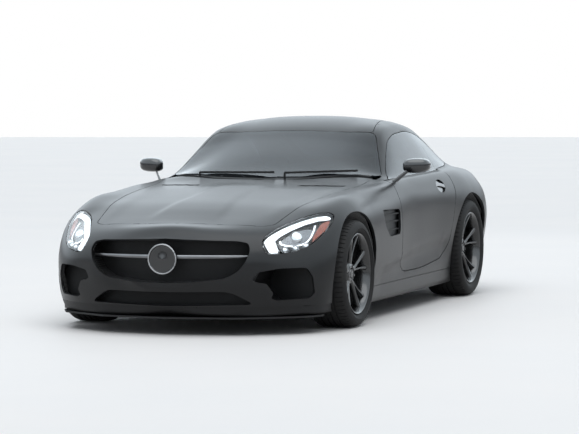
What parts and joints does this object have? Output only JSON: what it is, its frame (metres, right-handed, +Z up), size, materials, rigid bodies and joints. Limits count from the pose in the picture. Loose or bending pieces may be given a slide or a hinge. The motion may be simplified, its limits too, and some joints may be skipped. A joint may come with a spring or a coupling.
{
  "type": "sports coupe",
  "caption": "Low front-engined two-seat sports coupe with long bonnet and fastback tail, with turning wheels, steering, doors, bonnet and tailgate that open",
  "frame": {"origin": "on the ground, under the middle of the car's outline", "axes": "+Z up, the car faces -Y and its left side is +X"},
  "size_m": [2.074, 4.546, 1.2879],
  "materials": {
    "paint": "satin black paint",
    "glass": "tinted, polished",
    "tyre": "matt rubber",
    "wheel_black": "gloss black paint",
    "lamp_clear": "clear lens",
    "lamp_red": "red lens",
    "cast_iron": "as cast",
    "alloy": "as cast",
    "leather": "grained",
    "steel": "polished",
    "dark_metal": "satin dark",
    "black_plastic": "moulded black"
  },
  "bodies": {
    "body": {"cowl": "black_plastic", "dashboard": "black_plastic", "diffuser": "black_plastic", "engine": "alloy", "exhaust_tips": "steel", "floor_pan": "black_plastic", "front_bumper": "paint", "front_suspension": "cast_iron", "grille": "black_plastic", "grille_bar": "dark_metal", "headlamps": "lamp_clear", "quarter_glass": "glass", "rear_bumper": "paint", "rear_suspension": "cast_iron", "roof": "paint", "seats": "leather", "side_ducts": "black_plastic", "side_frames": "paint", "side_vents": "black_plastic", "sills": "paint", "splitter": "black_plastic", "tail_lamps": "lamp_red", "wheelhouses": "black_plastic", "windscreen": "glass", "wings": "paint", "wipers": "black_plastic"},
    "knuckle_left": {"knuckle_front_left": "cast_iron"},
    "front_wheel_left": {"rim_front_left": "wheel_black", "tyre_front_left": "tyre"},
    "rear_wheel_left": {"rim_rear_left": "wheel_black", "tyre_rear_left": "tyre"},
    "door_left": {"door_left": "paint", "door_glass_left": "glass", "mirror_left": "paint"},
    "knuckle_right": {"knuckle_front_right": "cast_iron"},
    "front_wheel_right": {"rim_front_right": "wheel_black", "tyre_front_right": "tyre"},
    "rear_wheel_right": {"rim_rear_right": "wheel_black", "tyre_rear_right": "tyre"},
    "door_right": {"door_right": "paint", "door_glass_right": "glass", "mirror_right": "paint"},
    "bonnet": {"bonnet": "paint"},
    "hatch": {"hatch": "paint", "rear_window": "glass"},
    "steering": {"steering_wheel": "black_plastic"}
  },
  "joints": [
    {"name": "steer_left", "type": "hinge", "parent": "body", "child": "knuckle_left", "pos_m": [0.752, -1.343, 0.334], "axis": [0, 0, 1], "range_deg": [-32, 32]},
    {"name": "spin_front_left", "type": "hinge", "parent": "knuckle_left", "child": "front_wheel_left", "pos_m": [0.822, -1.343, 0.334], "axis": [1, 0, 0], "continuous": true},
    {"name": "spin_rear_left", "type": "hinge", "parent": "body", "child": "rear_wheel_left", "pos_m": [0.81, 1.287, 0.343], "axis": [1, 0, 0], "continuous": true},
    {"name": "door_left_hinge", "type": "hinge", "parent": "body", "child": "door_left", "pos_m": [0.882, -0.28, 0.3], "axis": [0, 0, -1], "range_deg": [0, 62]},
    {"name": "steer_right", "type": "hinge", "parent": "body", "child": "knuckle_right", "pos_m": [-0.752, -1.343, 0.334], "axis": [0, 0, 1], "range_deg": [-32, 32]},
    {"name": "spin_front_right", "type": "hinge", "parent": "knuckle_right", "child": "front_wheel_right", "pos_m": [-0.822, -1.343, 0.334], "axis": [1, 0, 0], "continuous": true},
    {"name": "spin_rear_right", "type": "hinge", "parent": "body", "child": "rear_wheel_right", "pos_m": [-0.81, 1.287, 0.343], "axis": [1, 0, 0], "continuous": true},
    {"name": "door_right_hinge", "type": "hinge", "parent": "body", "child": "door_right", "pos_m": [-0.882, -0.28, 0.3], "axis": [0, 0, 1], "range_deg": [0, 62]},
    {"name": "bonnet_hinge", "type": "hinge", "parent": "body", "child": "bonnet", "pos_m": [0, -0.335, 0.842], "axis": [-1, 0, 0], "range_deg": [0, 36]},
    {"name": "hatch_hinge", "type": "hinge", "parent": "body", "child": "hatch", "pos_m": [0, 0.816, 1.255], "axis": [1, 0, 0], "range_deg": [0, 55]},
    {"name": "steering_wheel_turn", "type": "hinge", "parent": "body", "child": "steering", "pos_m": [0.37, 0.205, 0.764], "axis": [0, 0.9285, 0.3714], "range_deg": [-450, 450]}
  ],
  "couplings": [
    {"joint": "steer_right", "follows": "steer_left", "ratio": 1},
    {"joint": "steering_wheel_turn", "follows": "steer_left", "ratio": 13}
  ]
}
